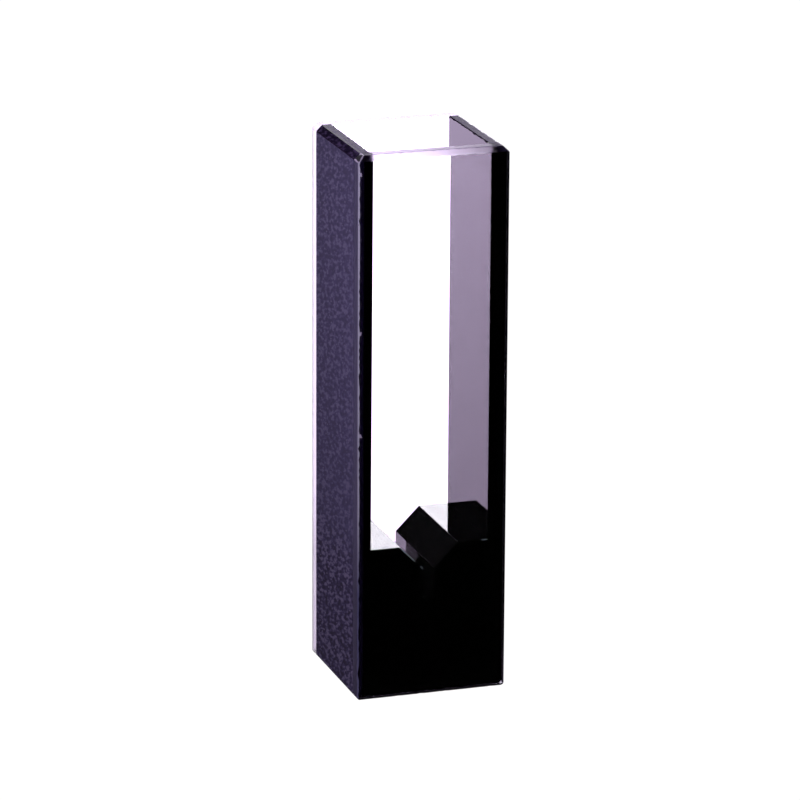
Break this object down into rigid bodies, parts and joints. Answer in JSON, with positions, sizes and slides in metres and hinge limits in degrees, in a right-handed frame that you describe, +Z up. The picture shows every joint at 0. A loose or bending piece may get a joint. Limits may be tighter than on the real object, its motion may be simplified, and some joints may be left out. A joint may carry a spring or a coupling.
{
  "type": "cuvette",
  "caption": "Open square micro cuvette: clear quartz windows front and back, black self-masking side walls and a black base with a funnelled sample slot.",
  "frame": {"origin": "centre of the foot", "axes": "+Z up the cell, +Y along the light path towards the back window, +X across the black walls"},
  "size_m": [0.0126, 0.0126, 0.045],
  "materials": {
    "clear_quartz": "polished clear fused quartz",
    "black_quartz": "black quartz, ground outside and polished inside"
  },
  "bodies": {
    "root": {"front_window": "clear_quartz", "back_window": "clear_quartz", "left_wall": "black_quartz", "right_wall": "black_quartz", "base_block": "black_quartz"}
  },
  "joints": []
}
